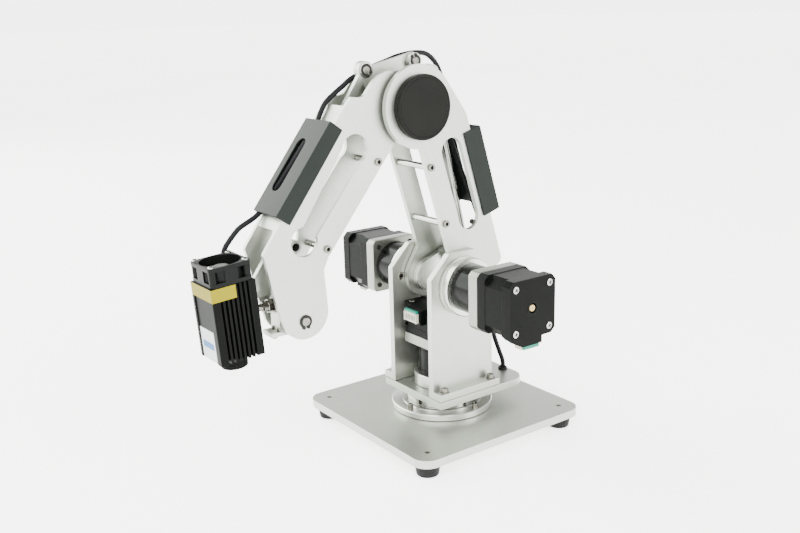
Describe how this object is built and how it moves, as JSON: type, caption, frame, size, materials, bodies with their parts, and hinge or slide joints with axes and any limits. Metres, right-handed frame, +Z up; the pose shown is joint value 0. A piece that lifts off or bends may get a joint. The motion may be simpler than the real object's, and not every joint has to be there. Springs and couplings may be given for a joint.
{
  "type": "robot arm",
  "caption": "Desktop articulated robot arm on a turntable, with parallelogram levelling links, geared motors and a fan-cooled laser module held level at the wrist.",
  "frame": {"origin": "on the turntable axis at the underside of the square base plate", "axes": "+X is the reach direction at rest, +Y is the robot's left side, +Z is up along the turntable axis"},
  "size_m": [0.2712, 0.2018, 0.286],
  "materials": {
    "anodised_silver": "satin",
    "machined_silver": "machined",
    "anodised_black": "satin",
    "cover_grey": "matt",
    "steel": "satin",
    "bearing_steel": "bright",
    "black_rubber": "matt",
    "black_plastic": "matt",
    "lens_barrel_brass": "satin",
    "black_sleeve": "matt"
  },
  "bodies": {
    "base": {"base_plate": "anodised_silver", "foot_1": "black_rubber", "foot_2": "black_rubber", "foot_3": "black_rubber", "foot_4": "black_rubber", "base_flange": "machined_silver", "yaw_bearing": "bearing_steel"},
    "turret": {"turret_plate": "anodised_silver", "bracket_left": "anodised_silver", "bracket_right": "anodised_silver", "levelling_anchor": "anodised_silver", "lead_gland": "black_plastic", "lead_rear_drop": "black_sleeve", "yaw_mounting_ring": "machined_silver", "yaw_gearbox": "anodised_black", "yaw_adapter": "anodised_silver", "yaw_motor": "anodised_black", "shoulder_mounting_ring": "machined_silver", "shoulder_gearbox": "anodised_black", "shoulder_adapter": "anodised_silver", "shoulder_motor": "anodised_black", "elbow_mounting_ring": "machined_silver", "elbow_gearbox": "anodised_black", "elbow_adapter": "anodised_silver", "elbow_motor": "anodised_black"},
    "lower_arm": {"lower_arm_plate_left": "anodised_silver", "lower_arm_plate_right": "anodised_silver", "lower_arm_spacer_1": "machined_silver", "lower_arm_spacer_2": "machined_silver", "elbow_shaft": "steel", "elbow_cap_left": "anodised_black", "elbow_cap_right": "anodised_black", "shoulder_hub": "machined_silver", "lower_arm_cover": "cover_grey", "lead_lower_arm": "black_sleeve"},
    "levelling_triangle": {"levelling_triangle": "anodised_silver", "triangle_pin_front": "steel", "triangle_pin_rear": "steel"},
    "forearm": {"forearm_plate_left": "anodised_silver", "forearm_plate_right": "anodised_silver", "elbow_bearing_left": "bearing_steel", "elbow_bearing_right": "bearing_steel", "forearm_spacer_1": "machined_silver", "forearm_spacer_2": "machined_silver", "forearm_spine": "anodised_silver", "forearm_cover": "cover_grey", "wrist_pin": "steel", "lead_forearm": "black_sleeve", "lead_tool_loop": "black_sleeve"},
    "upper_link": {"upper_levelling_link": "anodised_silver"},
    "lower_link": {"lower_levelling_link": "anodised_silver"},
    "crank": {"crank": "machined_silver"},
    "crank_pin": {"crank_pin": "steel"},
    "drive_rod": {"drive_rod": "steel"},
    "tool": {"tool_carrier": "anodised_silver", "laser_bolt": "steel", "laser_heat_sink": "anodised_black", "laser_lens_barrel": "lens_barrel_brass", "laser_fan_frame": "black_plastic"},
    "fan_rotor": {"laser_fan_rotor": "black_plastic"}
  },
  "joints": [
    {"name": "yaw", "type": "hinge", "parent": "base", "child": "turret", "pos_m": [0, 0, 0.018], "axis": [0, 0, 1], "range_deg": [-135, 135]},
    {"name": "shoulder", "type": "hinge", "parent": "turret", "child": "lower_arm", "pos_m": [0, 0, 0.107], "axis": [0, 1, 0], "range_deg": [-12, 40], "deforming": ["lead_rear_drop"]},
    {"name": "triangle_level", "type": "hinge", "parent": "lower_arm", "child": "levelling_triangle", "pos_m": [0.03133, 0, 0.23927], "axis": [0, 1, 0], "range_deg": [-40, 12]},
    {"name": "elbow", "type": "hinge", "parent": "levelling_triangle", "child": "forearm", "pos_m": [0.03133, 0, 0.23927], "axis": [0, 1, 0], "range_deg": [-50, 4], "deforming": ["lead_forearm"]},
    {"name": "upper_link_pivot", "type": "hinge", "parent": "levelling_triangle", "child": "upper_link", "pos_m": [0.06133, -0.0014, 0.26527], "axis": [0, 1, 0], "range_deg": [-50, 4]},
    {"name": "wrist", "type": "hinge", "parent": "forearm", "child": "tool", "pos_m": [0.12682, 0, 0.10321], "axis": [0, 1, 0], "range_deg": [-4, 50], "deforming": ["lead_tool_loop"]},
    {"name": "fan", "type": "hinge", "parent": "tool", "child": "fan_rotor", "pos_m": [0.17878, 0, 0.14437], "axis": [0.0698, 0, 0.9976], "continuous": true},
    {"name": "lower_link_pivot", "type": "hinge", "parent": "turret", "child": "lower_link", "pos_m": [-0.012, -0.0014, 0.137], "axis": [0, 1, 0], "range_deg": [-12, 40]},
    {"name": "crank_drive", "type": "hinge", "parent": "turret", "child": "crank", "pos_m": [0, -0.0132, 0.107], "axis": [0, 1, 0], "range_deg": [-50, 4]},
    {"name": "crank_pin_turn", "type": "hinge", "parent": "crank", "child": "crank_pin", "pos_m": [-0.0335, -0.01, 0.1275], "axis": [0, 1, 0], "range_deg": [-4, 50]},
    {"name": "drive_rod_pivot", "type": "hinge", "parent": "crank_pin", "child": "drive_rod", "pos_m": [-0.0335, -0.0091, 0.1275], "axis": [0, 1, 0], "range_deg": [-12, 40]}
  ],
  "couplings": [
    {"joint": "triangle_level", "follows": "shoulder", "ratio": -1},
    {"joint": "lower_link_pivot", "follows": "shoulder", "ratio": 1},
    {"joint": "drive_rod_pivot", "follows": "shoulder", "ratio": 1},
    {"joint": "upper_link_pivot", "follows": "elbow", "ratio": 1},
    {"joint": "wrist", "follows": "elbow", "ratio": -1},
    {"joint": "crank_drive", "follows": "elbow", "ratio": 1},
    {"joint": "crank_pin_turn", "follows": "elbow", "ratio": -1}
  ]
}
